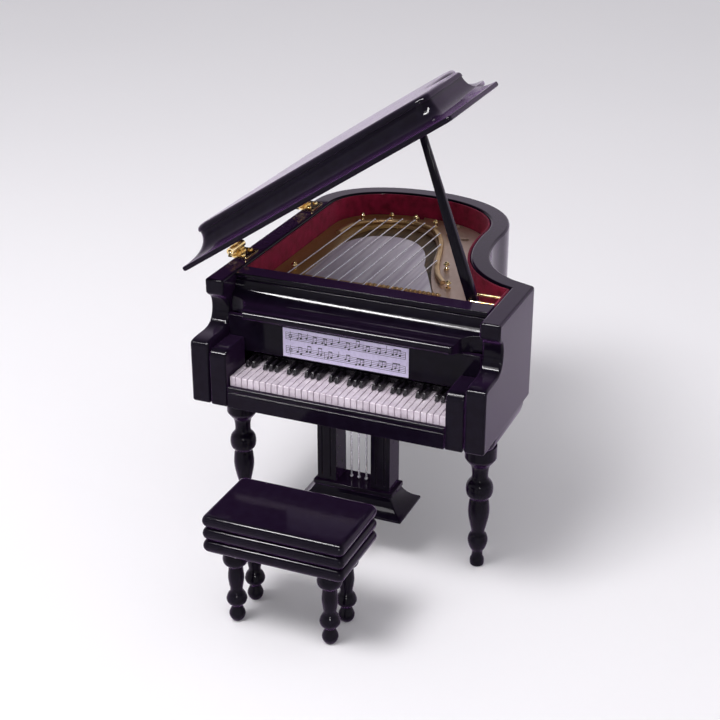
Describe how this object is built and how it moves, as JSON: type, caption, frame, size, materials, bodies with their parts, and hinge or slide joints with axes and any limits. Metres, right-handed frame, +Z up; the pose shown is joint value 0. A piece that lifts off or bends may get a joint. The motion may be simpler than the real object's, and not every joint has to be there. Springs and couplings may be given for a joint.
{
  "type": "miniature grand piano",
  "caption": "Small ornamental grand piano in black lacquer, lid propped open over a velvet-lined harp, with turned legs, a pedal lyre and a matching bench.",
  "frame": {"origin": "middle of the whole set's footprint, on the surface it stands on", "axes": "+X to the player's right, +Y from the keyboard towards the tail, +Z up"},
  "size_m": [0.1266, 0.2084, 0.188],
  "materials": {
    "lacquer": "high-gloss black lacquer on turned and sawn wood",
    "velvet": "crimson flock or velvet",
    "gold": "satin gold paint",
    "brass": "polished",
    "silver": "bright wire",
    "sheet": "pale satin sheet",
    "ivory": "satin white",
    "ebony": "satin black",
    "paper": "printed paper label",
    "wood": "stained, unpolished"
  },
  "bodies": {
    "piano": {"bead_trim": "gold", "belly_rail": "lacquer", "black_keys": "ebony", "bottom_board": "lacquer", "bridge": "gold", "fallboard": "lacquer", "front_rail": "lacquer", "harp_plate": "gold", "hinge_front_case_leaf": "brass", "hinge_front_pin": "brass", "hinge_rear_case_leaf": "brass", "hinge_rear_pin": "brass", "hitch_pin_1": "brass", "hitch_pin_2": "brass", "hitch_pin_3": "brass", "hitch_pin_4": "brass", "hitch_pin_5": "brass", "hitch_pin_6": "brass", "hitch_pin_7": "brass", "hitch_pin_8": "brass", "key_bed": "lacquer", "key_block_left": "lacquer", "key_block_right": "lacquer", "key_slip": "lacquer", "leg_block_left": "lacquer", "leg_block_rear": "lacquer", "leg_block_right": "lacquer", "leg_front_left": "lacquer", "leg_front_right": "lacquer", "leg_rear": "lacquer", "lyre_base": "lacquer", "lyre_post_left": "lacquer", "lyre_post_right": "lacquer", "music_label": "paper", "nameboard": "lacquer", "pedal_left": "brass", "pedal_middle": "brass", "pedal_right": "brass", "pedal_rod_left": "silver", "pedal_rod_middle": "silver", "pedal_rod_right": "silver", "prop_socket": "lacquer", "prop_staple": "brass", "rim": "lacquer", "soundboard": "wood", "string_sheet": "sheet", "strings": "silver", "velvet_lining": "velvet", "white_keys": "ivory"},
    "lid": {"lid": "lacquer", "hinge_front_lid_leaf": "brass", "hinge_rear_lid_leaf": "brass"},
    "prop": {"prop_stick": "lacquer"},
    "bench": {"bench_leg_front_left": "lacquer", "bench_leg_front_right": "lacquer", "bench_leg_rear_left": "lacquer", "bench_leg_rear_right": "lacquer", "bench_slab_lower": "lacquer", "bench_slab_middle": "lacquer", "bench_slab_upper": "lacquer"}
  },
  "joints": [
    {"name": "lid_hinge", "type": "hinge", "parent": "piano", "child": "lid", "pos_m": [-0.05768, 0.02515, 0.1106], "axis": [0, -1, 0], "range_deg": [0, 55]},
    {"name": "prop_hinge", "type": "hinge", "parent": "piano", "child": "prop", "pos_m": [0.04352, -0.00935, 0.1062], "axis": [0, 1, 0], "range_deg": [0, 84]},
    {"name": "bench_slide", "type": "slide", "parent": "piano", "child": "bench", "axis": [0, 1, 0], "range_m": [-0.05, 0.035]}
  ]
}
